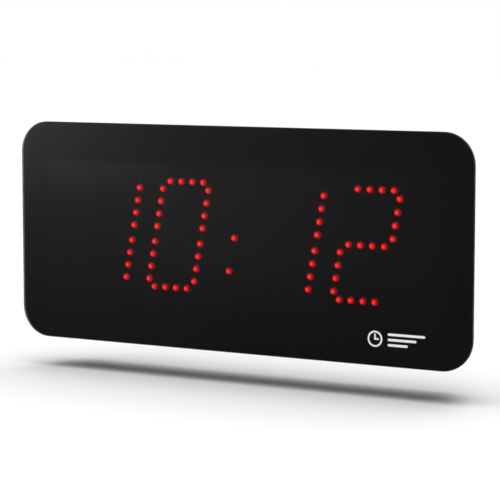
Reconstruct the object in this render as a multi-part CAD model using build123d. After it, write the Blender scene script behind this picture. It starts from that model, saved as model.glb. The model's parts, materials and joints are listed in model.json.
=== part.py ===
from build123d import *
import os

# LED wall timer: four slanted seven-segment digits of round LEDs behind a smoked window,
# in a shallow tapered case that hangs on a steel wall bracket.
# Millimetres, +Z up. The window faces -Y and the wall is the plane y = 0.
# The origin is the middle of the wall bracket's back face.

# ---- Case ----
face_width = 342.0
face_height = 150.0
face_corner = 21.0
case_depth = 45.0
back_width = 302.0
back_height = 130.0
back_corner = 16.0
wall = 2.6
rim_gap = 0.6
parting_y = -28.0

# ---- Layers behind the window, front to back ----
front_y = -case_depth
window_thickness = 2.5
tape_thickness = 0.8
land_thickness = 2.0
mask_thickness = 1.5
board_thickness = 1.6
led_height = 8.6
led_to_window = 0.6
standoff_length = 10.0

window_back = front_y + window_thickness
land_y = window_back + tape_thickness
land_back = land_y + land_thickness
mask_back = land_back + mask_thickness
board_front = window_back + led_to_window + led_height
board_back = board_front + board_thickness
control_front = board_back + standoff_length
control_back = control_front + board_thickness

# ---- Back of the case ----
back_wall_thickness = 2.5
rim_y = -rim_gap
rim_inner_y = rim_y - back_wall_thickness
recess_y = -5.0
recess_width = 250.0
recess_height = 104.0
recess_corner = 8.0
recess_inner_y = recess_y - back_wall_thickness

# ---- Digits ----
display_x = -2.3
display_z = 1.0
led_pitch = 8.5
column_offset = 17.8
row_offset = 35.9
first_led_offset = 5.2
slant = 0.1833
digit_centres = (-97.3, -43.2, 43.2, 97.3)
lit_segments = ("bc", "abcdef", "bc", "abged")
colon_rows = (0.0, -22.2)
led_radius = 2.5
led_flange_radius = 2.9
led_flange_thickness = 1.0
lead_radius = 0.3
lead_pitch = 2.54
lead_tail = 1.4

# ---- Window opening, mask and display board ----
opening_width = 296.0
opening_height = 93.8
opening_z = 1.9
mask_overlap = 1.7
board_width = 316.0
board_height = 102.0
board_z = 1.0
board_screw_x = 153.5
board_screw_rows = (36.0, 2.0, -32.0)
mask_post_x = (-120.0, -40.0, 40.0, 120.0)
mask_post_rows = (44.5, -41.0)
light_sensor_place = (128.0, -37.0)
receiver_place = (-128.0, -37.0)
receiver_window = 2.6
sensor_radius = 1.5

mask_post_radius = 2.5
mask_hole_play = 0.2
lead_hole_play = 0.15
header_hole_radius = 0.55
board_corner = 2.0

# ---- Control board ----
control_width = 150.0
control_height = 78.0
control_z = -11.0
standoff_x = 70.0
standoff_rows = (23.0, -45.0)
standoff_hex_radius = 3.2
standoff_bore = 1.5
screw_hole_radius = 1.7
boss_end = 0.5
header_place = (12.0, 12.0)
header_rows = 10
header_pitch = 2.54
header_pin_width = 0.64
socket_height = 8.5

# ---- Parts on the control board: places and main sizes ----
driver_package = (15.4, 7.5, 2.4)
processor_package = (10.0, 10.0, 1.5)
regulator_package = (6.5, 4.0, 1.7)
clock_package = (5.0, 4.0, 1.6)
processor_place = (-24.0, -30.0)
regulator_place = (20.0, -8.0)
clock_place = (-24.0, -8.0)
crystal_place = (-40.0, -42.0)
cell_place = (-48.0, 6.0)
cell_radius = 10.0
cell_thickness = 3.2
holder_floor = 1.0
terminal_place = (0.0, -28.0)
terminal_pitch = 5.08
terminal_ways = (-1, 0, 1)
power_place = (44.0, 8.0)
power_size = (46.0, 25.0, 11.6)
fuse_place = (46.0, -14.0)
fuse_length = 20.0
fuse_radius = 2.35
fuse_cap_radius = 2.6
fuse_cap_length = 5.0
fuse_height = 4.2
capacitor_places = ((-18.0, 16.0), (-8.0, 20.0), (2.0, 20.0))
capacitor_radius = 4.0
capacitor_height = 11.5
choke_place = (12.0, 8.0)
buzzer_place = (-52.0, -28.0)
buzzer_radius = 7.0
buzzer_height = 8.5

# ---- Case screws and buttons ----
case_screw_x = (-142.0, 0.0, 142.0)
case_screw_z = (-57.0, 57.0)
post_radius = 4.5
boss_radius = 4.0
board_boss_radius = 3.5
pilot_radius = 1.2
well_radius = 3.4
well_floor_y = -25.0
lap_height = 1.5
lap_inset = 1.5
lap_play = 0.15
button_x = (40.0, 60.0)
button_y = -16.8
button_radius = 4.0
button_travel = 1.0
running_gap = 0.3
cap_stand_out = 2.2
stem_radius = 2.4
plunger_radius = 1.75
plunger_play = 0.1
plunger_length = 4.0
plunger_hidden = 1.0
switch_depth = 4.5
switch_width = 6.0
pocket_floor_z = -67.0
pocket_width = 34.0
pocket_depth = 12.0
guide_inner_z = -64.5
guide_width = 42.0
guide_depth = 15.0
flange_radius = 5.3
flange_thickness = 1.2

# ---- Wall bracket ----
bracket_thickness = 1.5
bracket_width = 200.0
bracket_height = 84.0
bracket_hole_spacing = (120.0, 64.0)
bracket_hole_radius = 2.5
cable_window = (30.0, 34.0)
cable_window_z = -1.0
hook_x = (-84.0, 84.0)
hook_tops = (20.0, -30.0)
hook_width = 16.0
hook_lip = 7.5
hook_reach = 9.5
hook_play = 0.1
lift_travel = 8.5
grommet_z = -6.0
grommet_bore = 3.5
grommet_neck = 6.0
grommet_lip = 1.4
grommet_outer_radius = 8.0
grommet_inner_radius = 7.4
slot_side_play = 1.5

# ---- Openings in the back, sound slots and wall pads ----
vent_width = 2.5
vent_height = 44.0
vent_x = [104.0 + 6.0 * step for step in range(4)]
sound_slot_x = [-64.0 + 6.0 * step for step in range(5)]
sound_slot_y = -12.0
sound_slot_size = (9.0, 2.0)
pad_x = 108.0
pad_z = 58.5
pad_radius = 5.0
pad_recess = 1.0
pad_to_wall = 0.2

# ---- Window print ----
mark_depth = 0.15
mark_line = 1.15
mark_clock_place = (104.0, -57.6)
mark_clock_radius = 5.2
mark_bars_x = 113.0
mark_bar_height = 1.6
mark_bar_step = 3.4
mark_bar_lengths = (26.0, 20.0, 14.0)


def front_plane(y):
    """Plane at depth y with local x = +X, local y = +Z and its normal to the front."""
    return Plane(origin=(0, y, 0), x_dir=(1, 0, 0), z_dir=(0, -1, 0))


def rear_plane(y):
    """Plane at depth y with local x = +X, local y = -Z and its normal to the wall."""
    return Plane(origin=(0, y, 0), x_dir=(1, 0, 0), z_dir=(0, 1, 0))


def slab(outline, back, front):
    """Flat piece with an outline drawn in X and Z, between two depths."""
    return extrude(front_plane(back) * outline, amount=back - front)


def rod(x, z, radius, back, front):
    """Round pin along Y."""
    return slab(Pos(x, z) * Circle(radius), back, front)


def rods(places, radius, back, front):
    return [rod(x, z, radius, back, front) for x, z in places]


def discs(places, radius):
    return [Pos(x, z) * Circle(radius) for x, z in places]


def on_front(piece, x, z, y):
    """Stand a piece, built upwards along Z, on a face that looks to the front."""
    return front_plane(y) * Pos(x, z, 0) * piece


def on_rear(piece, x, z, y):
    """Stand a piece, built upwards along Z, on a face that looks to the wall."""
    return rear_plane(y) * Pos(x, -z, 0) * piece


def raised(width, depth, height, lift=0.0):
    """Box that stands on its base, lifted by a given height."""
    return Pos(0, 0, lift) * Box(width, depth, height, align=(Align.CENTER, Align.CENTER, Align.MIN))


def stub(radius, height, lift=0.0):
    """Cylinder that stands on its base, lifted by a given height."""
    return Pos(0, 0, lift) * Cylinder(radius, height, align=(Align.CENTER, Align.CENTER, Align.MIN))


def case_section(y, inset=0.0):
    """Rounded outline of the case at depth y, which shrinks evenly towards the wall."""
    share = (y - window_back) / (rim_y - window_back)
    width = face_width + share * (back_width - face_width)
    height = face_height + share * (back_height - face_height)
    corner = face_corner + share * (back_corner - face_corner)
    return front_plane(y) * RectangleRounded(width - 2 * inset, height - 2 * inset, corner - inset)


def case_block(front, back, inset=0.0):
    """Solid stretch of the tapered case between two depths."""
    return loft([case_section(back, inset), case_section(front, inset)], ruled=True)


def case_ring(front, back, outer_inset, inner_inset):
    """Ring between two insets of the tapered case outline."""
    return case_block(front, back, outer_inset) - case_block(front, back, inner_inset)


def grid(x_values, z_values):
    return [(x, z) for x in x_values for z in z_values]


def save(name, piece):
    """Write one node; a list of solids is written as one group."""
    shape = Compound(piece) if isinstance(piece, list) else piece
    shape.label = name
    export_step(shape, f"parts/{name}.step")


# ---- LED places ----
def segment_places(segment):
    """Four LED places of one segment, from the digit's centre, before the slant."""
    steps = (-1.5 * led_pitch, -0.5 * led_pitch, 0.5 * led_pitch, 1.5 * led_pitch)
    middle = first_led_offset + 1.5 * led_pitch
    rows = {"a": row_offset, "g": 0.0, "d": -row_offset}
    columns = {"b": (1, 1), "c": (1, -1), "e": (-1, -1), "f": (-1, 1)}
    if segment in rows:
        return [(step, rows[segment]) for step in steps]
    side, level = columns[segment]
    return [(side * column_offset, level * middle + step) for step in steps]


def leaned(x, z):
    """Move a place of the display onto the slant and to the display's centre."""
    return (display_x + x + slant * z, display_z + z)


def digit_leds(digit, segments):
    centre = digit_centres[digit]
    return [leaned(centre + x, z) for segment in segments for x, z in segment_places(segment)]


led_groups = {}
for digit, lit in enumerate(lit_segments):
    dark = [segment for segment in "abcdefg" if segment not in lit]
    led_groups[f"leds_digit_{digit + 1}_lit"] = digit_leds(digit, lit)
    led_groups[f"leds_digit_{digit + 1}_dark"] = digit_leds(digit, dark)
led_groups["leds_colon"] = [leaned(0.0, z) for z in colon_rows]
led_places = [place for group in led_groups.values() for place in group]

case_screw_places = grid(case_screw_x, case_screw_z)
board_screw_places = grid((-board_screw_x, board_screw_x), board_screw_rows)
standoff_places = grid((-standoff_x, standoff_x), standoff_rows)
mask_post_places = grid(mask_post_x, mask_post_rows)
pad_places = grid((-pad_x, pad_x), (-pad_z, pad_z))
hook_places = grid(hook_x, hook_tops)
header_steps = [(row - (header_rows - 1) / 2) * header_pitch for row in range(header_rows)]
header_columns = (header_place[0] - header_pitch / 2, header_place[0] + header_pitch / 2)
header_pin_places = grid(header_columns, [header_place[1] + step for step in header_steps])


# ---- Fasteners ----
def pan_screw(length, radius):
    """Pan-head screw with a cross recess, head up, its shank pointing down from z = 0."""
    head_radius, head_height = 2.8, 2.2
    recess_width, recess_length, recess_depth = 0.8, 3.0, 1.2
    head = stub(head_radius, head_height)
    head = fillet(head.edges().group_by(Axis.Z)[-1], 0.8)
    cross = [raised(*sides, 2 * recess_depth, head_height - recess_depth)
             for sides in ((recess_length, recess_width), (recess_width, recess_length))]
    shank = Pos(0, 0, -length) * stub(radius, length)
    shank = chamfer(shank.edges().group_by(Axis.Z)[0], 0.5)
    return head + shank - cross


# ---- Window, mark and tape ----
def mark_outlines():
    """Generic clock pictogram with three plain bars beside it."""
    radius, line = mark_clock_radius, mark_line
    ring = Circle(radius) - Circle(radius - line)
    long_hand = Pos(0, 0.26 * radius) * Rectangle(line, 0.73 * radius)
    short_hand = Pos(0.21 * radius, 0) * Rectangle(0.62 * radius, line)
    outlines = [Pos(*mark_clock_place) * ring, Pos(*mark_clock_place) * (long_hand + short_hand)]
    for row, length in enumerate(mark_bar_lengths):
        level = mark_clock_place[1] + (1 - row) * mark_bar_step
        outlines.append(Pos(mark_bars_x + length / 2, level) * SlotOverall(length, mark_bar_height))
    return outlines


def printed_mark():
    layers = [slab(outline, front_y + mark_depth, front_y) for outline in mark_outlines()]
    return [solid for layer in layers for solid in layer.solids()]


def front_window():
    pane = slab(RectangleRounded(face_width, face_height, face_corner), window_back, front_y)
    pane = chamfer(pane.edges().group_by(Axis.Y)[0], 0.5)
    return pane - printed_mark()


tape_outer = (336.0, 144.0, 18.0)
tape_inner = (306.0, 104.0, 4.0)


def window_tape():
    ring = RectangleRounded(*tape_outer) - Pos(0, opening_z) * RectangleRounded(*tape_inner)
    return slab(ring, land_y, window_back)


# ---- Front frame ----
def front_frame():
    """Moulded surround: a land for the window tape, the display opening, bosses and tapered flanks."""
    opening = Pos(0, opening_z) * RectangleRounded(opening_width, opening_height, 3.0)
    body = case_block(window_back, parting_y)
    body -= slab(RectangleRounded(*tape_outer), land_y, window_back)
    body -= case_block(land_back, parting_y + 1.0, wall)
    body -= slab(opening, land_back, land_y)
    body += case_ring(parting_y, parting_y + lap_height, lap_inset, wall)
    body += rods(case_screw_places, boss_radius, parting_y, land_back)
    body += rods(board_screw_places, board_boss_radius, board_front, land_back)
    body += frame_ribs()
    body -= rods(case_screw_places, pilot_radius, parting_y, land_back + boss_end)
    body -= rods(board_screw_places, pilot_radius, board_front, land_back + boss_end)
    return body


def frame_ribs():
    """Short webs that tie the screw bosses to the flanks."""
    inner = case_screw_z[1] + boss_radius - 0.5
    outer = face_height / 2 - wall - 3.0
    web = Rectangle(1.6, outer - inner)
    places = grid(case_screw_x, (-(inner + outer) / 2, (inner + outer) / 2))
    return [slab(Pos(x, z) * web, parting_y - 2.0, land_back) for x, z in places]


# ---- LED mask ----
def led_mask():
    width = opening_width + 2 * mask_overlap
    height = opening_height + 2 * mask_overlap
    plate = Pos(0, opening_z) * RectangleRounded(width, height, 4.0)
    holes = discs(led_places, led_radius + mask_hole_play)
    holes += discs([light_sensor_place], sensor_radius + mask_hole_play)
    holes += discs([receiver_place], receiver_window)
    body = slab(plate - holes, mask_back, land_back)
    return body + rods(mask_post_places, mask_post_radius, board_front, mask_back)


# ---- Display board and what is soldered to it ----
def display_board():
    outline = Pos(0, board_z) * RectangleRounded(board_width, board_height, board_corner)
    leads = [(x + side * lead_pitch / 2, z) for x, z in led_places for side in (-1, 1)]
    holes = discs(leads, lead_radius + lead_hole_play)
    holes += discs(header_pin_places, header_hole_radius)
    holes += discs(board_screw_places + standoff_places, screw_hole_radius)
    return slab(outline - holes, board_back, board_front)


def led():
    """Round 5 mm LED with a flange, a domed tip and two leads."""
    lens = stub(led_flange_radius, led_flange_thickness) + stub(led_radius, led_height - led_radius)
    lens += Pos(0, 0, led_height - led_radius) * Sphere(led_radius)
    tail = board_thickness + lead_tail
    leads = [Pos(side * lead_pitch / 2, 0, -tail) * stub(lead_radius, tail + 0.5) for side in (-1, 1)]
    return lens + leads


def led_group(places):
    one = led()
    return [on_front(one, x, z, board_front) for x, z in places]


def chip(package, pins, pitch, sides=2):
    """Chip with bent leads on two or four sides, standing on the plane z = 0."""
    length, width, height = package
    lift, metal = 0.15, 0.2
    body = raised(length, width, height - lift, lift)
    body = chamfer(body.edges().group_by(Axis.Z)[-1], 0.25)
    lead_width = pitch * 0.35
    bend = height * 0.55
    leads = []
    for pin in range(pins):
        along = (pin - (pins - 1) / 2) * pitch
        foot = Pos(along, width / 2 + 0.75, 0) * raised(lead_width, 0.9, metal)
        riser = Pos(along, width / 2 + 0.4, 0) * raised(lead_width, metal, bend)
        arm = Pos(along, width / 2 + 0.15, bend - metal) * raised(lead_width, 0.7, metal)
        leads += [foot, riser, arm]
    turns = [side * 360 / sides for side in range(sides)]
    return body + [Rot(0, 0, turn) * lead for turn in turns for lead in leads]


def driver_chips():
    """One LED driver behind each digit, inside its upper loop."""
    one = chip(driver_package, pins=12, pitch=1.27)
    places = [leaned(centre, row_offset / 2) for centre in digit_centres]
    return [on_rear(one, x, z, board_back) for x, z in places]


def segment_resistors():
    """Eight chip resistors behind each digit, inside its lower loop."""
    body = raised(3.2, 1.6, 0.6)
    column_steps = (-2.7, 2.7)
    row_steps = (-5.4, -1.8, 1.8, 5.4)
    middles = [leaned(centre, -row_offset / 2) for centre in digit_centres]
    places = [(x + dx, z + dz) for x, z in middles for dx, dz in grid(column_steps, row_steps)]
    return [on_rear(body, x, z, board_back) for x, z in places]


def light_sensor():
    """Small phototransistor that dims the digits in a dark room."""
    height = board_front - mask_back + 0.6
    body = stub(1.9, 0.8) + stub(sensor_radius, height - sensor_radius)
    body += Pos(0, 0, height - sensor_radius) * Sphere(sensor_radius)
    return on_front(body, *light_sensor_place, board_front)


def remote_receiver():
    """Infrared receiver with a round lens that looks through the mask."""
    body = raised(6.0, 6.6, 3.6)
    body = chamfer(body.edges().group_by(Axis.Z)[-1], 0.6)
    body += Pos(0, 0, 2.4) * Sphere(2.3)
    body -= Pos(0, 0, -3.0) * raised(8.0, 8.0, 3.0)
    return on_front(body, *receiver_place, board_front)


def board_screws():
    screw = pan_screw(5.5, 1.15)
    return [on_rear(screw, x, z, board_back) for x, z in board_screw_places]


# ---- Link between the two boards ----
def header_pins():
    """Pin header on the back of the display board, its pins soldered through the board."""
    base = raised(2 * header_pitch, header_rows * header_pitch, standoff_length - socket_height)
    base = on_rear(base, *header_place, board_back)
    pins = []
    for x, z in header_pin_places:
        pin = Pos(x, z) * Rectangle(header_pin_width, header_pin_width)
        pins.append(slab(pin, board_back + 6.5, board_front - 1.0))
    return base + pins


def header_socket():
    body = raised(2 * header_pitch, header_rows * header_pitch + 0.6, socket_height)
    body = on_front(body, *header_place, control_front)
    hole_width = header_pin_width + 0.26
    holes = [Pos(x, z) * Rectangle(hole_width, hole_width) for x, z in header_pin_places]
    top = control_front - socket_height
    return body - [slab(hole, top + 6.0, top) for hole in holes]


# ---- Standoffs and their screws ----
def standoffs():
    """Hexagonal brass spacers, threaded right through, between the boards."""
    outline = RegularPolygon(standoff_hex_radius, 6) - Circle(standoff_bore)
    body = slab(outline, control_front, board_back)
    return [Pos(x, 0, z) * body for x, z in standoff_places]


def standoff_screws():
    """One screw from each side of every standoff."""
    screw = pan_screw(5.6, standoff_bore - 0.08)
    front = [on_front(screw, x, z, board_front) for x, z in standoff_places]
    rear = [on_rear(screw, x, z, control_back) for x, z in standoff_places]
    return front + rear


# ---- Control board and its parts ----
def control_board():
    outline = Pos(0, control_z) * RectangleRounded(control_width, control_height, board_corner)
    return slab(outline - discs(standoff_places, screw_hole_radius), control_back, control_front)


def on_control(piece, x, z):
    return on_rear(piece, x, z, control_back)


def microcontroller():
    return on_control(chip(processor_package, pins=16, pitch=0.5, sides=4), *processor_place)


def crystal():
    """Oval metal can on a wider rim."""
    length, width, rim = 11.0, 4.6, 0.6
    can = extrude(SlotOverall(length, width), 3.4)
    can = fillet(can.edges().group_by(Axis.Z)[-1], 0.6)
    base = extrude(SlotOverall(length + 2 * rim, width + 2 * rim), 0.5)
    return on_control(can + base, *crystal_place)


def cell_holder():
    """Round holder with a wall, two retaining lugs and a finger notch."""
    height = 4.4
    inside = cell_radius + 0.2
    body = stub(inside + 1.4, height) - stub(inside, height, holder_floor)
    body -= Pos(0, -inside - 0.8, holder_floor) * raised(9.0, 8.0, height)
    lugs = [Rot(0, 0, turn) * Pos(inside - 0.6, 0, height) * raised(3.2, 4.0, 0.9) for turn in (0, 180)]
    feet = [Rot(0, 0, turn) * Pos(inside + 2.2, 0, 0) * raised(3.0, 5.0, 0.8) for turn in (0, 180)]
    return on_control(body + lugs + feet, *cell_place)


def button_cell():
    """Coin cell that keeps the time through a power cut."""
    seat = holder_floor + 0.05
    cell = stub(cell_radius, cell_thickness, seat)
    cell = fillet(cell.edges().group_by(Axis.Z)[-1], 0.4)
    cell -= stub(cell_radius - 1.8, 0.3, seat + cell_thickness - 0.1)
    return on_control(cell, *cell_place)


def cable_terminal():
    """Three-way screw terminal for the supply cable."""
    depth, height = 8.2, 10.0
    body = raised(len(terminal_ways) * terminal_pitch, depth, height)
    body = chamfer(body.edges().filter_by(Axis.X).group_by(Axis.Z)[-1], 1.2)
    for way in terminal_ways:
        body -= Pos(way * terminal_pitch, 0, 3.0) * stub(1.9, height)
        body -= Pos(way * terminal_pitch, -depth / 2, 1.6) * raised(3.4, 4.4, 3.6)
    return on_control(body, *terminal_place)


def terminal_screws():
    """Slotted clamping screws, one in each way of the terminal."""
    screw = stub(1.75, 2.4) - raised(3.6, 0.6, 1.0, 1.6)
    return [on_control(Pos(way * terminal_pitch, 0, 5.6) * screw, *terminal_place) for way in terminal_ways]


def power_module():
    """Encapsulated converter that makes the low voltage for both boards."""
    length, width, height = power_size
    lift = 0.3
    body = raised(length, width, height, lift)
    body = fillet(body.edges().filter_by(Axis.Z), 1.5)
    body = fillet(body.edges().group_by(Axis.Z)[-1], 0.8)
    inset = 3.0
    feet_places = grid((inset - length / 2, length / 2 - inset), (inset - width / 2, width / 2 - inset))
    feet = [Pos(x, y, 0) * stub(1.0, lift + 0.1) for x, y in feet_places]
    return on_control(body + feet, *power_place)


def along_fuse(radius, length, shift=0.0):
    """Round bar on the fuse's own axis."""
    return Pos(shift, 0, fuse_height) * Rot(0, 90, 0) * Cylinder(radius, length)


def fuse():
    """Glass tube fuse with its two metal end caps."""
    shift = (fuse_length - fuse_cap_length) / 2 + 0.1
    caps = [along_fuse(fuse_cap_radius, fuse_cap_length, side * shift) for side in (-1, 1)]
    return on_control(along_fuse(fuse_radius, fuse_length) + caps, *fuse_place)


def fuse_clips():
    """Two sprung clips that grip the fuse's end caps."""
    clip = raised(4.0, 6.4, 6.4) - along_fuse(fuse_cap_radius + 0.05, 8.0)
    clip -= Pos(0, 0, fuse_height) * raised(6.0, 3.6, 4.0)
    shift = (fuse_length - fuse_cap_length) / 2 + 0.1
    return [on_control(Pos(side * shift, 0, 0) * clip, *fuse_place) for side in (-1, 1)]


def capacitors():
    """Radial electrolytics with a rolled groove near the base."""
    can = stub(capacitor_radius, capacitor_height)
    can = fillet(can.edges().group_by(Axis.Z)[-1], 0.6)
    can -= Pos(0, 0, 1.8) * Torus(capacitor_radius + 0.25, 0.55)
    return [on_control(can, x, z) for x, z in capacitor_places]


def choke():
    """Drum choke: a ferrite bobbin with its winding."""
    height, flange = 6.0, 1.2
    drum = stub(4.0, flange) + stub(4.0, flange, height - flange) + stub(3.2, height)
    return on_control(drum, *choke_place)


def buzzer():
    """Round buzzer that marks the start and the end of a round."""
    body = stub(buzzer_radius, buzzer_height)
    body = fillet(body.edges().group_by(Axis.Z)[-1], 0.7)
    body -= stub(1.2, 3.0, buzzer_height - 2.0)
    return on_control(body, *buzzer_place)


def control_chips():
    """Small chips and passives around the microcontroller."""
    regulator = chip(regulator_package, pins=3, pitch=2.2)
    clock_chip = chip(clock_package, pins=4, pitch=1.27)
    passive = raised(2.0, 1.25, 0.6)
    column = [(-11.0, -42.0 + 3.0 * step) for step in range(6)]
    row = [(18.0 + 4.0 * step, -32.0) for step in range(6)]
    passives = [on_control(passive, x, z) for x, z in column + row]
    return [on_control(regulator, *regulator_place), on_control(clock_chip, *clock_place), *passives]


# ---- Push switches and buttons ----
switch_top_z = control_z - control_height / 2
plunger_tip_z = switch_top_z - plunger_length
plunger_end_z = switch_top_z + plunger_hidden


def down_rod(x, radius, top, bottom):
    """Round pin along Z at a button's axis."""
    pin = Cylinder(radius, top - bottom, align=(Align.CENTER, Align.CENTER, Align.MAX))
    return Pos(x, button_y, top) * pin


def push_switches():
    """Right-angle switch bodies on the lower edge of the control board."""
    height = 2 * (button_y - control_back)
    bore_end = plunger_end_z + button_travel + 0.2
    bodies = []
    for x in button_x:
        body = Box(switch_width, height, switch_depth)
        body = chamfer(body.edges().group_by(Axis.Z)[0], 0.4)
        body = Pos(x, button_y, switch_top_z + switch_depth / 2) * body
        bodies.append(body - down_rod(x, plunger_radius + plunger_play, bore_end, plunger_tip_z))
    return bodies


def switch_plunger(x):
    return down_rod(x, plunger_radius, plunger_end_z, plunger_tip_z)


def push_button(x):
    """Cap, retaining flange and stem of one button, pushed upwards to press its switch."""
    cap = down_rod(x, button_radius, guide_inner_z + 0.5, pocket_floor_z - cap_stand_out)
    cap = fillet(cap.edges().group_by(Axis.Z)[0], 0.7)
    flange_bottom = guide_inner_z + running_gap
    flange_top = flange_bottom + flange_thickness
    flange = down_rod(x, flange_radius, flange_top, flange_bottom)
    stem = down_rod(x, stem_radius, plunger_tip_z, flange_top)
    return cap + flange + stem


# ---- Rear cover ----
button_middle_x = sum(button_x) / len(button_x)


def hook_slots():
    """Slots in the back wall that the bracket's hooks pass through."""
    height = lift_travel + bracket_thickness + 1.6
    outline = RectangleRounded(hook_width + 2 * slot_side_play, height, 1.0)
    places = [(x, top + hook_play - height / 2) for x, top in hook_places]
    return [slab(Pos(x, z) * outline, rim_y + 1.0, recess_inner_y - 1.0) for x, z in places]


def back_vents():
    """Upright ventilation slots at both ends of the bracket recess."""
    slot = SlotOverall(vent_height, vent_width, 90)
    places = [side * x for side in (-1, 1) for x in vent_x]
    return [slab(Pos(x, 0) * slot, rim_y + 1.0, recess_inner_y - 1.0) for x in places]


def sound_slots():
    """Slots through the bottom flank, below the buzzer."""
    cutter = extrude(SlotOverall(*sound_slot_size, 90), amount=-face_height / 2)
    top = guide_inner_z + 4.0
    return [Pos(x, sound_slot_y, top) * cutter for x in sound_slot_x]


def button_guide():
    """Thick pad behind the bottom flank that guides both buttons."""
    height = face_height / 2 + guide_inner_z
    block = Box(guide_width, guide_depth, height, align=(Align.CENTER, Align.CENTER, Align.MAX))
    return (Pos(button_middle_x, button_y, guide_inner_z) * block) & case_block(parting_y, rim_y, 0.8)


def button_pocket():
    """Flat pocket in the bottom flank that the button caps stand in."""
    cutter = Box(pocket_width, pocket_depth, 10.0, align=(Align.CENTER, Align.CENTER, Align.MAX))
    cutter = fillet(cutter.edges().filter_by(Axis.Z), 4.0)
    return Pos(button_middle_x, button_y, pocket_floor_z) * cutter


def rear_cover():
    """Tapered tray with a sunk back that takes the bracket, screw posts and the button guide."""
    recess = RectangleRounded(recess_width, recess_height, recess_corner)
    recess_shell = offset(recess, back_wall_thickness)
    body = case_block(parting_y, rim_y)
    body -= case_block(parting_y - 1.0, rim_inner_y, wall)
    body -= case_block(parting_y - 1.0, parting_y + lap_height + lap_play, lap_inset - lap_play)
    body -= case_ring(parting_y - 0.5, parting_y + 0.6, -1.0, 0.5)
    body += rods(case_screw_places, post_radius, rim_inner_y, parting_y)
    body += slab(recess_shell, rim_inner_y, recess_inner_y)
    body += button_guide()
    body -= slab(recess, rim_y + 1.0, recess_y)
    body -= rods(case_screw_places, well_radius, rim_y + 1.0, well_floor_y)
    body -= rods(case_screw_places, screw_hole_radius, well_floor_y, parting_y)
    body -= rods(pad_places, pad_radius + 0.1, rim_y + 1.0, rim_y - pad_recess)
    body -= button_pocket()
    for x in button_x:
        body -= down_rod(x, button_radius + running_gap, guide_inner_z + 1.0, -face_height / 2)
    body -= hook_slots() + back_vents() + sound_slots()
    body -= rod(0, grommet_z, grommet_neck, rim_y + 1.0, recess_inner_y - 1.0)
    return body


def case_screws():
    screw = pan_screw(12.0, 1.15)
    return [on_rear(screw, x, z, well_floor_y) for x, z in case_screw_places]


def wall_pads():
    """Soft pads in the rim that keep the case off the wall."""
    thickness = pad_recess + rim_gap - pad_to_wall
    pad = fillet(stub(pad_radius, thickness).edges().group_by(Axis.Z)[-1], 0.3)
    return [on_rear(pad, x, z, rim_y - pad_recess) for x, z in pad_places]


def cable_grommet():
    """Rubber ring in the back wall, the cable's way in."""
    outer = rod(0, grommet_z, grommet_outer_radius, recess_y + grommet_lip, recess_y)
    outer = fillet(outer.edges().group_by(Axis.Y)[-1], 0.6)
    inner = rod(0, grommet_z, grommet_inner_radius, recess_inner_y, recess_inner_y - grommet_lip)
    neck = rod(0, grommet_z, grommet_neck - 0.05, recess_y, recess_inner_y)
    bore = rod(0, grommet_z, grommet_bore, 0.0, control_back)
    return outer + inner + neck - bore


# ---- Wall bracket ----
def hook_profile(top):
    """Side view of one hook: a tongue that leaves the plate and a lip that turns up."""
    inner = bracket_thickness
    points = [
        (0.0, top - inner),
        (-hook_reach, top - inner),
        (-hook_reach, top + hook_lip),
        (-hook_reach + inner, top + hook_lip),
        (-hook_reach + inner, top),
        (0.0, top),
    ]
    return Polyline(*points, close=True)


def hook(x, top):
    side_view = Plane(origin=(x, 0, 0), x_dir=(0, 1, 0), z_dir=(1, 0, 0))
    outline = make_face(side_view * hook_profile(top))
    strip = extrude(outline, amount=hook_width / 2, both=True)
    bend = strip.edges().filter_by(Axis.X).sort_by_distance((x, -hook_reach, top - bracket_thickness))[0]
    strip = fillet(bend, bracket_thickness * 0.9)
    tips = strip.edges().filter_by(Axis.Y).group_by(Axis.Z)[-1]
    return fillet(tips, 3.0)


def wall_bracket():
    """Steel plate with four hooks lanced and bent out of it."""
    plate = RectangleRounded(bracket_width, bracket_height, 6.0)
    spacing_x, spacing_z = bracket_hole_spacing
    hole_places = grid((-spacing_x / 2, spacing_x / 2), (-spacing_z / 2, spacing_z / 2))
    plate -= discs(hole_places, bracket_hole_radius)
    plate -= Pos(0, cable_window_z) * RectangleRounded(*cable_window, 3.0)
    lanced = hook_lip + hook_reach
    for x, top in hook_places:
        plate -= Pos(x, top + lanced / 2) * Rectangle(hook_width + 1.0, lanced)
    body = slab(plate, 0.0, -bracket_thickness)
    return body + [hook(x, top) for x, top in hook_places]


nodes = {
    "wall_bracket": wall_bracket,
    "rear_cover": rear_cover,
    "front_frame": front_frame,
    "front_window": front_window,
    "printed_mark": printed_mark,
    "window_tape": window_tape,
    "led_mask": led_mask,
    "display_board": display_board,
    "led_driver_chips": driver_chips,
    "segment_resistors": segment_resistors,
    "light_sensor": light_sensor,
    "remote_receiver": remote_receiver,
    "board_screws": board_screws,
    "header_pins": header_pins,
    "header_socket": header_socket,
    "standoffs": standoffs,
    "standoff_screws": standoff_screws,
    "control_board": control_board,
    "microcontroller": microcontroller,
    "crystal": crystal,
    "cell_holder": cell_holder,
    "button_cell": button_cell,
    "cable_terminal": cable_terminal,
    "terminal_screws": terminal_screws,
    "power_module": power_module,
    "fuse": fuse,
    "fuse_clips": fuse_clips,
    "capacitors": capacitors,
    "choke": choke,
    "buzzer": buzzer,
    "control_chips": control_chips,
    "push_switches": push_switches,
    "case_screws": case_screws,
    "wall_pads": wall_pads,
    "cable_grommet": cable_grommet,
}

os.makedirs("parts", exist_ok=True)
for name, make in nodes.items():
    save(name, make())
for name, places in led_groups.items():
    save(name, led_group(places))
for name, x in zip(("set", "adjust"), button_x):
    save(f"{name}_button", push_button(x))
    save(f"{name}_switch_plunger", switch_plunger(x))
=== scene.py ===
import json
import math

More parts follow.
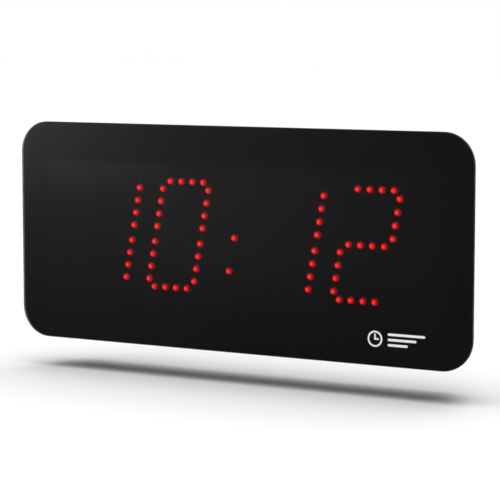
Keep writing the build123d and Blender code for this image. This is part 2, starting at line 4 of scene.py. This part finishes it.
import bpy
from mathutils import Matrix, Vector


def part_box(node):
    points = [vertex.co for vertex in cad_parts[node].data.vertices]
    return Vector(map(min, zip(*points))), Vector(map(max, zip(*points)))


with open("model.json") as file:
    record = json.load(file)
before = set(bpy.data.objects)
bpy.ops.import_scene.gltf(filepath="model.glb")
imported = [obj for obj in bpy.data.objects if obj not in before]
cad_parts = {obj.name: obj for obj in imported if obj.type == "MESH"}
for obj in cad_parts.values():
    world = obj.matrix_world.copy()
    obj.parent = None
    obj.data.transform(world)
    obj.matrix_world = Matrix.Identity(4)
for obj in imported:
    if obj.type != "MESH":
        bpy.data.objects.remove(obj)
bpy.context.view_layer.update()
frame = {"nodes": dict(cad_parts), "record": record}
nodes = frame["nodes"]

# Sizes on the parts, in metres
CHIP_LEAD_REACH = 0.00121
CHIP_LEAD_FOOT = 0.00021
FUSE_CAP_LENGTH = 0.0051
HEADER_BODY_HEIGHT = 0.0015
HAIR = 0.00001
MASK_OVERLAP = 0.0017
TRACK_PITCHES = (0.00127, 0.0031)
PAD_PITCH = 0.00508
WELD_DISTANCE = 0.000002
WINDOW_INSET = 0.00004
FLOOR_LEVEL = -0.096
FLOOR_REACH = 12.0

# Lit LEDs: how fast the glow falls off from the tip, how strong it is, and its share of green and blue
GLOW_FALLOFF = 2.8
GLOW_STRENGTH = 18.0
HOT_SHARE = 0.034

# Studio strengths: the lamps, and how much of the bright studio each part of the gloss mirrors
OVERHEAD_POWER = 1.75
OVERHEAD_SPREAD = math.radians(62.0)
OVERHEAD_TILT = math.radians(14.0)
FILL_POWER = 32.0
BROAD_MIRRORED = 0.24
FAR_LEFT_LOSS = 0.35
CORNER_MIRRORED = 1.65
ABOVE_MIRRORED = 0.6
BEHIND_MIRRORED = 0.6
ELSEWHERE_MIRRORED = 0.08
AMBIENT = 0.12


# ---------------------------------------------------------------- materials
class Look:
    """One node material around a Principled shader, with short helpers for procedural detail."""

    def __init__(self, name, colour, roughness, metallic=0.0, **sockets):
        self.material = bpy.data.materials.new(name)
        self.material.use_nodes = True
        self.tree = self.material.node_tree
        self.shader = self.tree.nodes["Principled BSDF"]
        self.socket("Base Color", (*colour, 1.0))
        self.socket("Roughness", roughness)
        self.socket("Metallic", metallic)
        for key, value in sockets.items():
            self.socket(key.replace("_", " ").title().replace("Ior", "IOR"), value)
        coordinates = self.add("ShaderNodeTexCoord")
        self.place = coordinates.outputs["Object"]
        self.normal = coordinates.outputs["Normal"]
        self.heights = []

    def socket(self, name, value):
        """Set a number or colour that is the same all over."""
        self.shader.inputs[name].default_value = value

    def add(self, kind, **settings):
        """Add a node with its settings."""
        node = self.tree.nodes.new(kind)
        for key, value in settings.items():
            setattr(node, key, value)
        return node

    def link(self, value, target):
        """Feed a socket from another one, or set it to a plain value."""
        if isinstance(value, bpy.types.NodeSocket):
            self.tree.links.new(value, target)
        else:
            target.default_value = value

    def math(self, operation, a, b=0.0):
        """Join two values, each a socket or a plain number."""
        node = self.add("ShaderNodeMath", operation=operation)
        self.link(a, node.inputs[0])
        self.link(b, node.inputs[1])
        return node.outputs[0]

    def span(self, value, low, high, out_low=0.0, out_high=1.0, smooth=False):
        """Map a value from one range to another, clamped at both ends."""
        node = self.add("ShaderNodeMapRange")
        node.interpolation_type = "SMOOTHSTEP" if smooth else "LINEAR"
        for target, number in zip(node.inputs, (value, low, high, out_low, out_high)):
            self.link(number, target)
        return node.outputs[0]

    def axes(self, vector=None):
        """X, Y and Z of a vector, or of the place on the part."""
        node = self.add("ShaderNodeSeparateXYZ")
        self.link(vector or self.place, node.inputs[0])
        return node.outputs

    def stretched(self, scale):
        """Place on the part, scaled along each axis, for a grain."""
        node = self.add("ShaderNodeMapping")
        self.link(self.place, node.inputs["Vector"])
        node.inputs["Scale"].default_value = scale
        return node.outputs[0]

    def noise(self, scale, detail=3.0, rough=0.55, place=None):
        """Soft cloudy pattern."""
        node = self.add("ShaderNodeTexNoise")
        self.link(place or self.place, node.inputs["Vector"])
        node.inputs["Scale"].default_value = scale
        node.inputs["Detail"].default_value = detail
        node.inputs["Roughness"].default_value = rough
        return node.outputs["Fac"]

    def cells(self, scale, randomness=1.0):
        """Pattern of small cells, dark in their middles."""
        node = self.add("ShaderNodeTexVoronoi")
        self.link(self.place, node.inputs["Vector"])
        node.inputs["Scale"].default_value = scale
        node.inputs["Randomness"].default_value = randomness
        return node.outputs["Distance"]

    def colour_now(self):
        """What feeds the base colour at the moment."""
        target = self.shader.inputs["Base Color"]
        return target.links[0].from_socket if target.links else tuple(target.default_value)

    def tint(self, mask, colour):
        """Lay another colour over the base wherever the mask is one."""
        node = self.add("ShaderNodeMix", data_type="RGBA")
        below = self.colour_now()
        self.link(mask, node.inputs[0])
        self.link(below, node.inputs[6])
        self.link((*colour, 1.0), node.inputs[7])
        self.link(node.outputs[2], self.shader.inputs["Base Color"])

    def blend_socket(self, name, mask, value):
        """Move one shader number to another value wherever the mask is one."""
        target = self.shader.inputs[name]
        below = target.links[0].from_socket if target.links else target.default_value
        node = self.add("ShaderNodeMix", data_type="FLOAT")
        self.link(mask, node.inputs[0])
        self.link(below, node.inputs[2])
        self.link(value, node.inputs[3])
        self.link(node.outputs[0], target)

    def mottle(self, colour, scale, low=0.42, high=0.62, detail=4.0):
        """Patches of a second colour."""
        self.tint(self.span(self.noise(scale, detail), low, high), colour)

    def vary_roughness(self, low, high, scale, detail=4.0):
        """Let the roughness wander between two values."""
        self.link(self.span(self.noise(scale, detail), 0.35, 0.65, low, high),
                  self.shader.inputs["Roughness"])

    def bump(self, height, depth):
        """Add relief of the given depth in metres."""
        self.heights.append(self.math("MULTIPLY", height, depth))

    def rubbed_edges(self, colour, width, strength=0.6):
        """Lighten the outer edges a little, where hands and packing rub them."""
        bevel = self.add("ShaderNodeBevel", samples=4)
        bevel.inputs["Radius"].default_value = width
        geometry = self.add("ShaderNodeNewGeometry")
        dot = self.add("ShaderNodeVectorMath", operation="DOT_PRODUCT")
        self.link(bevel.outputs[0], dot.inputs[0])
        self.link(geometry.outputs["Normal"], dot.inputs[1])
        edge = self.span(dot.outputs["Value"], 0.995, 0.85, 0.0, strength)
        worn = self.math("MULTIPLY", edge, self.span(self.noise(220.0, 5.0), 0.4, 0.65))
        self.tint(worn, colour)

    def done(self):
        """Join all relief into one bump and return the material."""
        if self.heights:
            total = self.heights[0]
            for height in self.heights[1:]:
                total = self.math("ADD", total, height)
            bump = self.add("ShaderNodeBump")
            bump.inputs["Distance"].default_value = 1.0
            self.link(total, bump.inputs["Height"])
            self.link(bump.outputs[0], self.shader.inputs["Normal"])
        return self.material


def moulded(name, colour, roughness, grain=1100.0, depth=0.00003, lift=1.3, edges=True):
    """Moulded plastic with a fine spark-eroded texture and faint handling marks."""
    look = Look(name, colour, roughness)
    lighter = tuple(min(1.0, part * lift + 0.001) for part in colour)
    look.mottle(lighter, 55.0, 0.35, 0.85)
    look.vary_roughness(roughness - 0.07, roughness + 0.08, 38.0)
    look.bump(look.cells(grain), depth)
    look.bump(look.noise(grain * 0.35, 4.0), depth * 0.8)
    if edges:
        look.rubbed_edges(tuple(min(1.0, part * 3.0 + 0.02) for part in colour), 0.0004)
    return look


def plated(name, colour, roughness, grain=(30.0, 900.0, 900.0), depth=0.00001, patch=0.85):
    """Plated or drawn metal with a fine directional grain and cloudy patches."""
    look = Look(name, colour, roughness, 1.0)
    look.mottle(tuple(part * patch for part in colour), 90.0, 0.35, 0.8)
    look.vary_roughness(roughness - 0.03, roughness + 0.05, 60.0)
    look.bump(look.noise(1.0, 5.0, 0.6, look.stretched(grain)), depth)
    return look


looks = {}

# Case and buttons
looks["case_plastic"] = moulded("case_black_abs", (0.0125, 0.0125, 0.0135), 0.48).done()
looks["mask_plastic"] = moulded("mask_matt_black", (0.012, 0.012, 0.013), 0.62, 1500.0, edges=False).done()

look = moulded("button_dark_grey", (0.05, 0.05, 0.055), 0.42, 1600.0, 0.00002)
looks["button_plastic"] = look.done()


def painted_window_sheen(look, soft=0.0004):
    """Painted sheen on the window over the frame's opening: a lighter base colour that stands in for the
    soft reflection of the studio light, strongest at its upper left.
    """
    x, _, z = look.axes()
    low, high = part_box("led_mask")
    # mask of the frame's opening, where the painted sheen lies
    opening_mask = None
    for place, axis in ((x, 0), (z, 2)):
        for edge, inward in ((low[axis] + MASK_OVERLAP, soft), (high[axis] - MASK_OVERLAP, -soft)):
            inside = look.span(place, edge - inward, edge + inward)
            opening_mask = inside if opening_mask is None else look.math("MULTIPLY", opening_mask, inside)
    # broad painted sheen, lighter towards the top and the middle of the opening
    painted_broad_sheen = look.math("MULTIPLY", look.span(z, -0.045, -0.005, 0.08, 0.36, smooth=True),
                     look.span(x, -0.12, -0.03, 0.35, 1.0, smooth=True))
    painted_broad_sheen = look.math("MULTIPLY", painted_broad_sheen, look.span(x, 0.03, 0.13, 1.0, 0.4, smooth=True))
    # painted highlight, brightest at the upper left corner
    corner = look.math("MULTIPLY", look.span(z, 0.015, 0.047, 0.0, 0.7, smooth=True),
                       look.span(x, -0.03, -0.11, 0.0, 1.0, smooth=True))
    return look.math("MULTIPLY", opening_mask, look.math("ADD", painted_broad_sheen, corner))


# Window: smoked acrylic, almost black, with a satin front
look = Look("window_smoked_acrylic", (0.0050, 0.0046, 0.0054), 0.17, ior=1.49, alpha=0.7)
look.vary_roughness(0.15, 0.2, 9.0, 2.0)
# painted sheen: the base colour is lighter over the opening and most at its upper left, in place of
# reflected light on the face
look.tint(painted_window_sheen(look), (0.0150, 0.0146, 0.0154))
look.bump(look.noise(7.0, 1.0), 0.00002)
look.bump(look.noise(2400.0, 2.0), 0.0000006)
looks["smoked_window"] = look.done()

look = Look("print_white", (0.86, 0.86, 0.86), 0.5)
look.mottle((0.78, 0.78, 0.79), 900.0, 0.5, 0.8)
look.bump(look.noise(2600.0, 3.0), 0.000008)
looks["white_print"] = look.done()

look = Look("tape_foam", (0.012, 0.012, 0.012), 0.95)
look.mottle((0.017, 0.017, 0.017), 700.0)
look.bump(look.cells(2200.0), 0.00012)
looks["foam_tape"] = look.done()

# Rubber
look = Look("rubber_black", (0.017, 0.017, 0.017), 0.72)
look.mottle((0.04, 0.039, 0.038), 130.0, 0.5, 0.75)
look.vary_roughness(0.62, 0.82, 90.0)
look.bump(look.noise(1400.0, 4.0), 0.00003)
looks["black_rubber"] = look.done()

# Metals
look = plated("steel_bright_zinc", (0.66, 0.68, 0.70), 0.34, patch=0.92)
look.tint(look.span(look.noise(14.0, 2.0), 0.4, 0.8, 0.0, 0.3), (0.60, 0.63, 0.70))
look.bump(look.cells(260.0), 0.000004)
looks["bracket_steel"] = look.done()
looks["screw_steel"] = plated("steel_screw", (0.55, 0.56, 0.58), 0.32, (900.0, 900.0, 60.0)).done()
looks["standoff_brass"] = plated("brass_turned", (0.75, 0.58, 0.28), 0.28,
                                 (400.0, 3500.0, 400.0), 0.00002).done()
looks["clip_brass"] = plated("brass_sprung", (0.78, 0.68, 0.42), 0.3).done()
looks["metal_can"] = plated("can_drawn", (0.75, 0.76, 0.78), 0.26).done()
look = plated("cell_polished_steel", (0.70, 0.70, 0.72), 0.2)
look.bump(look.cells(500.0), 0.000008)
looks["cell_steel"] = look.done()

# Electrical plastics
looks["connector_plastic"] = moulded("nylon_black", (0.03, 0.03, 0.03), 0.5, 2200.0, 0.00002).done()
looks["terminal_plastic"] = moulded("nylon_green", (0.03, 0.22, 0.09), 0.42, 2200.0, 0.00002).done()
looks["module_plastic"] = moulded("potting_shell", (0.025, 0.025, 0.028), 0.38, 1800.0, 0.00002).done()

look = Look("resistor_body", (0.05, 0.05, 0.06), 0.25)
look.mottle((0.09, 0.09, 0.1), 900.0)
look.bump(look.noise(1500.0, 3.0), 0.00001)
looks["resistor_ceramic"] = look.done()

look = Look("ferrite_dark", (0.06, 0.055, 0.055), 0.55)
look.mottle((0.11, 0.10, 0.095), 1300.0)
look.bump(look.noise(1900.0, 5.0), 0.00005)
looks["choke_ferrite"] = look.done()

look = Look("epoxy_clear", (0.6, 0.62, 0.65), 0.08, ior=1.53, transmission_weight=0.7)
look.mottle((0.5, 0.53, 0.58), 400.0)
look.bump(look.noise(700.0, 2.0), 0.000006)
looks["clear_epoxy"] = look.done()

look = Look("epoxy_infrared", (0.02, 0.012, 0.02), 0.12, ior=1.53)
look.mottle((0.03, 0.014, 0.03), 500.0)
look.bump(look.noise(700.0, 2.0), 0.000006)
looks["receiver_epoxy"] = look.done()


def board_look():
    """Green solder mask over copper tracks, with bare laminate at the edges."""
    look = Look("board_green", (0.010, 0.085, 0.036), 0.3)
    normal_y = look.math("ABSOLUTE", look.axes(look.normal)[1])
    face = look.span(normal_y, 0.6, 0.7)
    x, _, z = look.axes()
    tracks = None
    for row in TRACK_PITCHES:
        grid_x = look.math("PINGPONG", look.math("ADD", x, look.math(
            "MULTIPLY", look.math("SNAP", look.noise(60.0, 1.0), 0.2), 0.05)), row)
        grid_z = look.math("PINGPONG", look.math("ADD", z, look.math(
            "MULTIPLY", look.math("SNAP", look.noise(45.0, 1.0), 0.2), 0.05)), row)
        line = look.math("MAXIMUM", look.math("LESS_THAN", grid_x, row * 0.18),
                         look.math("LESS_THAN", grid_z, row * 0.18))
        tracks = line if tracks is None else look.math("MULTIPLY", tracks, line)
    pads = look.math("LESS_THAN", look.cells(1 / PAD_PITCH, 0.35), 0.12)
    look.mottle((0.014, 0.11, 0.045), 60.0)
    look.tint(look.math("MULTIPLY", tracks, face), (0.03, 0.19, 0.085))
    look.tint(look.math("MULTIPLY", pads, face), (0.62, 0.60, 0.56))
    look.tint(look.math("SUBTRACT", 1.0, face), (0.36, 0.31, 0.17))
    look.blend_socket("Metallic", look.math("MULTIPLY", pads, face), 1.0)
    look.blend_socket("Roughness", look.math("SUBTRACT", 1.0, face), 0.8)
    look.bump(tracks, 0.00003)
    look.bump(pads, 0.00003)
    look.bump(look.noise(900.0, 3.0), 0.000006)
    return look.done()


looks["circuit_board"] = board_look()


def off_centre(look, node, axis, inside):
    """Mask that is one outside a central band of a node, along one axis."""
    low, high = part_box(node)
    middle = (low[axis] + high[axis]) / 2
    distance = look.math("ABSOLUTE", look.math("SUBTRACT", look.axes()[axis], middle))
    return look.math("GREATER_THAN", distance, inside)


def metal_where(look, mask, colour=(0.72, 0.72, 0.74), roughness=0.28):
    """Turn the surface into bare metal wherever the mask is one."""
    look.tint(mask, colour)
    look.blend_socket("Metallic", mask, 1.0)
    look.blend_socket("Roughness", mask, roughness)


def chip_look(name, node, lead_reach=None, both=False):
    """Moulded chip body with tinned leads."""
    look = Look(name, (0.028, 0.028, 0.030), 0.55)
    look.mottle((0.042, 0.042, 0.044), 420.0)
    look.vary_roughness(0.5, 0.64, 300.0)
    look.bump(look.noise(3000.0, 3.0), 0.000012)
    low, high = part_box(node)
    if lead_reach is None:
        mask = look.math("LESS_THAN", look.axes()[1], low[1] + CHIP_LEAD_FOOT)
    else:
        half = (high[2] - low[2]) / 2 - lead_reach
        mask = off_centre(look, node, 2, half)
        if both:
            mask = look.math("MAXIMUM", mask, off_centre(look, node, 0, half))
    metal_where(look, mask)
    return look.done()


def led_look(name, lens, metal_from):
    """Tinted LED lens on tinned leads; metal_from is the depth where the leads begin."""
    look = Look(name, lens, 0.2, ior=1.53, specular_tint=(1.0, 0.7, 0.7, 1.0))
    look.socket("Specular IOR Level", 0.22)
    look.mottle(tuple(part * 0.8 for part in lens), 300.0)
    look.bump(look.noise(600.0, 1.0), 0.00001)
    lead = look.math("GREATER_THAN", look.axes()[1], metal_from)
    metal_where(look, lead)
    return look, lead


board_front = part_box("display_board")[0][1]

look, _ = led_look("led_red_dark_lens", (0.035, 0.004, 0.005), board_front)
looks["led_red_dark"] = look.done()

look, lead = led_look("led_red_lit_lens", (0.30, 0.02, 0.02), board_front)
facing = look.axes(look.normal)[1]
off_axis = look.math("SUBTRACT", 1.0, look.math("MULTIPLY", facing, facing))
glow = look.math("EXPONENT", look.math("MULTIPLY", off_axis, -GLOW_FALLOFF))
glow = look.math("MULTIPLY", glow, look.math("SUBTRACT", 1.0, lead))
glow = look.math("MULTIPLY", glow, look.math("LESS_THAN", facing, 0.2))
hot = look.math("MULTIPLY", look.math("POWER", glow, 3.0), HOT_SHARE)
light = look.add("ShaderNodeCombineColor")
for value, target in zip((glow, hot, hot), light.inputs):
    look.link(value, target)
look.link(light.outputs[0], look.shader.inputs["Emission Color"])
look.socket("Emission Strength", GLOW_STRENGTH)
looks["led_red_lit"] = look.done()

# Parts of two materials, told apart by their place on the part
by_node = {
    "led_driver_chips": chip_look("chip_driver", "led_driver_chips", CHIP_LEAD_REACH),
    "microcontroller": chip_look("chip_processor", "microcontroller", CHIP_LEAD_REACH, both=True),
    "control_chips": chip_look("chip_small", "control_chips"),
}

look = Look("fuse_glass_tube", (0.85, 0.88, 0.90), 0.04, ior=1.5, transmission_weight=0.9)
look.mottle((0.78, 0.82, 0.85), 500.0)
look.bump(look.noise(400.0, 1.0), 0.000004)
low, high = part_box("fuse")
caps = off_centre(look, "fuse", 0, (high[0] - low[0]) / 2 - FUSE_CAP_LENGTH)
metal_where(look, caps, (0.78, 0.78, 0.79), 0.2)
look.blend_socket("Transmission Weight", caps, 0.0)
looks["fuse_glass"] = look.done()

look = Look("capacitor_sleeve_blue", (0.02, 0.04, 0.11), 0.28)
look.mottle((0.028, 0.05, 0.13), 500.0)
top = look.math("GREATER_THAN", look.axes(look.normal)[1], 0.93)
stripe = look.math("GREATER_THAN", look.axes(look.normal)[0], 0.8)
look.tint(stripe, (0.62, 0.66, 0.72))
metal_where(look, top, (0.8, 0.81, 0.82), 0.3)
look.bump(look.noise(1200.0, 3.0), 0.00001)
looks["capacitor_sleeve"] = look.done()

look = moulded("header_black_nylon", (0.03, 0.03, 0.03), 0.5, 2200.0, 0.00002)
board_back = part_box("display_board")[1][1]
depth = look.axes()[1]
pins = look.math("MAXIMUM", look.math("LESS_THAN", depth, board_back + HAIR),
                 look.math("GREATER_THAN", depth, board_back + HEADER_BODY_HEIGHT + HAIR))
metal_where(look, pins, (0.83, 0.66, 0.32), 0.22)
by_node["header_pins"] = look.done()

for part in frame["record"]["subparts"]:
    node = nodes[part["node"]]
    node.data.materials.clear()
    node.data.materials.append(by_node.get(part["node"]) or looks[part["material_slot"]])


# ---------------------------------------------------------------- edges
def welded(name):
    """A CAD node with its split corners joined by a first modifier."""
    node = nodes[name]
    weld = node.modifiers.new("weld", "WELD")
    weld.merge_threshold = WELD_DISTANCE
    return node


def soften(name, width, segments=2, angle=32.0):
    """Round a CAD node's sharp edges a little, as a moulding tool or a press leaves them."""
    node = welded(name)
    bevel = node.modifiers.new("bevel", "BEVEL")
    bevel.width = width
    bevel.segments = segments
    bevel.limit_method = "ANGLE"
    bevel.angle_limit = math.radians(angle)
    bevel.harden_normals = False
    normals = node.modifiers.new("normals", "WEIGHTED_NORMAL")
    normals.keep_sharp = False
    normals.weight = 80


def shrink(name, amount):
    """Draw a CAD node in by a hair, so that it and what it touches don't share one plane."""
    node = welded(name)
    inward = node.modifiers.new("inward", "DISPLACE")
    inward.mid_level = 0.0
    inward.strength = -amount
    normals = node.modifiers.new("normals", "WEIGHTED_NORMAL")
    normals.weight = 80


shrink("front_window", WINDOW_INSET)
for name, width in (("rear_cover", 0.0005), ("front_frame", 0.0004), ("wall_bracket", 0.0002),
                    ("cable_terminal", 0.00015), ("power_module", 0.0002), ("push_switches", 0.00015),
                    ("header_socket", 0.00012), ("cell_holder", 0.00015)):
    soften(name, width)


# ---------------------------------------------------------------- camera
camera = bpy.data.objects.new("camera", bpy.data.cameras.new("camera"))
bpy.context.scene.collection.objects.link(camera)
bpy.context.scene.camera = camera
# Placed at the viewing angle of the photograph
camera.data.sensor_width = 36.0
camera.data.lens = 145.43
camera.location = (0.6658, -1.1879, 0.1354)
aim = Vector((0.0125, -0.045, -0.0057))
camera.rotation_mode = "QUATERNION"
camera.rotation_quaternion = (aim - camera.location).to_track_quat("-Z", "Y")
camera.data.dof.use_dof = False


# ---------------------------------------------------------------- studio
scene = bpy.context.scene
scene.view_settings.view_transform = "Standard"

mesh = bpy.data.meshes.new("floor")
corners = [(-FLOOR_REACH, -FLOOR_REACH), (FLOOR_REACH, -FLOOR_REACH),
           (FLOOR_REACH, FLOOR_REACH), (-FLOOR_REACH, FLOOR_REACH)]
mesh.from_pydata([(x, y, FLOOR_LEVEL) for x, y in corners], [], [(0, 1, 2, 3)])
floor = bpy.data.objects.new("floor", mesh)
scene.collection.objects.link(floor)
pale = Look("floor_pale", (0.88, 0.88, 0.88), 0.9)
pale.mottle((0.87, 0.87, 0.87), 3.0)
from_below = pale.add("ShaderNodeNewGeometry").outputs["Backfacing"]
one_sided = pale.add("ShaderNodeMixShader")
pale.link(from_below, one_sided.inputs[0])
pale.link(pale.shader.outputs[0], one_sided.inputs[1])
pale.link(pale.add("ShaderNodeBsdfTransparent").outputs[0], one_sided.inputs[2])
pale.link(one_sided.outputs[0], pale.tree.nodes["Material Output"].inputs["Surface"])
mesh.materials.append(pale.done())
floor.visible_glossy = False


def softbox(name, place, aim_at, size, power):
    """Rectangular lamp at a place, turned towards another, that gloss doesn't mirror."""
    light = bpy.data.lights.new(name, "AREA")
    light.shape = "RECTANGLE"
    light.size, light.size_y = size
    light.energy = power
    lamp = bpy.data.objects.new(name, light)
    scene.collection.objects.link(lamp)
    lamp.location = place
    lamp.rotation_mode = "QUATERNION"
    lamp.rotation_quaternion = (Vector(aim_at) - Vector(place)).to_track_quat("-Z", "Y")
    lamp.visible_glossy = False


for name, tilt in (("overhead_front", -OVERHEAD_TILT), ("overhead_back", OVERHEAD_TILT)):
    lamp = bpy.data.objects.new(name, bpy.data.lights.new(name, "SUN"))
    lamp.data.energy = OVERHEAD_POWER
    lamp.data.angle = OVERHEAD_SPREAD
    lamp.rotation_euler = (tilt, 0.0, 0.0)
    lamp.visible_glossy = False
    scene.collection.objects.link(lamp)
softbox("front_fill", (1.2, -2.6, 0.0), (0.0, 0.0, 0.0), (1.6, 0.7), FILL_POWER)

world = bpy.data.worlds.new("studio")
scene.world = world
world.use_nodes = True
world.cycles.sampling_method = "NONE"
tree = world.node_tree
tree.nodes.clear()


def world_node(kind, **settings):
    """Add a node to the world."""
    node = tree.nodes.new(kind)
    for key, value in settings.items():
        setattr(node, key, value)
    return node


def world_span(value, low, high):
    """Rise smoothly from 0 to 1 between two values."""
    node = world_node("ShaderNodeMapRange", interpolation_type="SMOOTHSTEP")
    tree.links.new(value, node.inputs[0])
    node.inputs[1].default_value = low
    node.inputs[2].default_value = high
    return node.outputs[0]


def world_math(operation, a, b):
    """Join two values, each a socket or a plain number."""
    node = world_node("ShaderNodeMath", operation=operation)
    for value, target in zip((a, b), node.inputs):
        if isinstance(value, float):
            target.default_value = value
        else:
            tree.links.new(value, target)
    return node.outputs[0]


path = world_node("ShaderNodeLightPath")
direction = world_node("ShaderNodeTexCoord").outputs["Generated"]
parts = world_node("ShaderNodeSeparateXYZ")
tree.links.new(direction, parts.inputs[0])
to_x, to_y, to_z = parts.outputs
to_left = world_math("MULTIPLY", to_x, -1.0)
to_front = world_math("MULTIPLY", to_y, -1.0)

# What gloss mirrors: a broad glow and a brighter corner at the front left, the ceiling, and the back
broad = world_math("MULTIPLY", world_span(to_z, -0.175, -0.07), world_span(to_left, 0.385, 0.53))
far_left = world_math("MULTIPLY", world_span(to_left, 0.52, 0.58), FAR_LEFT_LOSS)
broad = world_math("MULTIPLY", broad, world_math("SUBTRACT", 1.0, far_left))
corner = world_math("MULTIPLY", world_span(to_z, -0.085, -0.028), world_span(to_left, 0.535, 0.60))
window_side = world_span(to_front, 0.5, 0.72)
mirrored = ELSEWHERE_MIRRORED
for part, share in ((world_math("MULTIPLY", broad, window_side), BROAD_MIRRORED),
                    (world_math("MULTIPLY", corner, window_side), CORNER_MIRRORED),
                    (world_span(to_z, 0.2, 0.9), ABOVE_MIRRORED),
                    (world_span(to_y, -0.1, 0.45), BEHIND_MIRRORED)):
    mirrored = world_math("ADD", mirrored, world_math("MULTIPLY", part, share))

seen_by_glossy = world_math("MULTIPLY", path.outputs["Is Glossy Ray"], mirrored)
seen_by_diffuse = world_math("MULTIPLY", path.outputs["Is Diffuse Ray"], AMBIENT)
straight = world_math("SUBTRACT", 1.0, path.outputs["Is Glossy Ray"])
straight = world_math("SUBTRACT", straight, path.outputs["Is Diffuse Ray"])
strength = world_math("ADD", seen_by_glossy, seen_by_diffuse)
strength = world_math("ADD", strength, straight)
background = world_node("ShaderNodeBackground")
background.inputs["Color"].default_value = (1.0, 1.0, 1.0, 1.0)
tree.links.new(strength, background.inputs["Strength"])
output = world_node("ShaderNodeOutputWorld")
tree.links.new(background.outputs[0], output.inputs[0])
